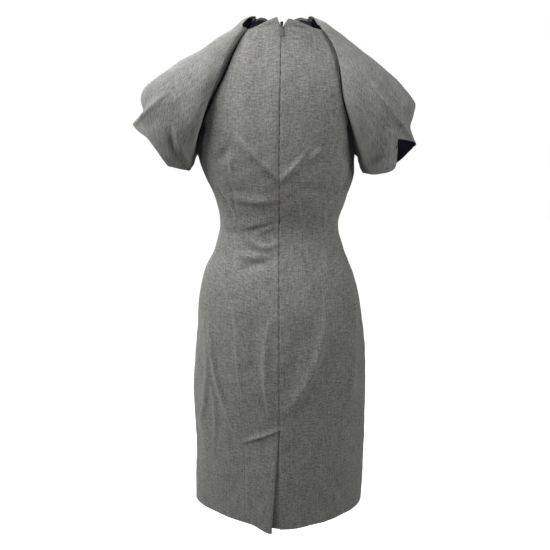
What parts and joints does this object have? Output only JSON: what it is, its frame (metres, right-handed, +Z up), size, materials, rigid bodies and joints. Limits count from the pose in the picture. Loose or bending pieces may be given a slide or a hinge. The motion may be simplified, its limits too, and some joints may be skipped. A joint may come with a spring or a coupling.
{
  "type": "puff sleeve sheath dress",
  "caption": "Knee-length fitted wool flannel dress, filled out as worn: raglan puff sleeves with a standing fold, princess seams, centre back zip with a pull tab and a lapped vent.",
  "frame": {"origin": "on the wearer's shoulder line, at the base of the neck and midway between the shoulders, where the worn dress is carried", "axes": "+Z up along the wearer's height, -Y the way the front faces, +X the wearer's left"},
  "size_m": [0.5426, 0.2712, 1.0132],
  "materials": {
    "flannel": "matt brushed wool, mid grey melange",
    "zip_tape": "woven polyester, dark navy",
    "zip_metal": "satin grey"
  },
  "bodies": {
    "dress": {"front": "flannel", "back_centre_left": "flannel", "back_centre_right": "flannel", "back_side_left": "flannel", "back_side_right": "flannel", "sleeve_left": "flannel", "sleeve_right": "flannel", "zip_tape": "zip_tape", "zip_slider": "zip_metal"},
    "zip_pull": {"zip_pull": "zip_metal"}
  },
  "joints": [
    {"name": "pull_swing", "type": "hinge", "parent": "dress", "child": "zip_pull", "pos_m": [-0.00511, 0.05617, 0.0255], "axis": [1, 0, 0], "range_deg": [0, 160]}
  ]
}
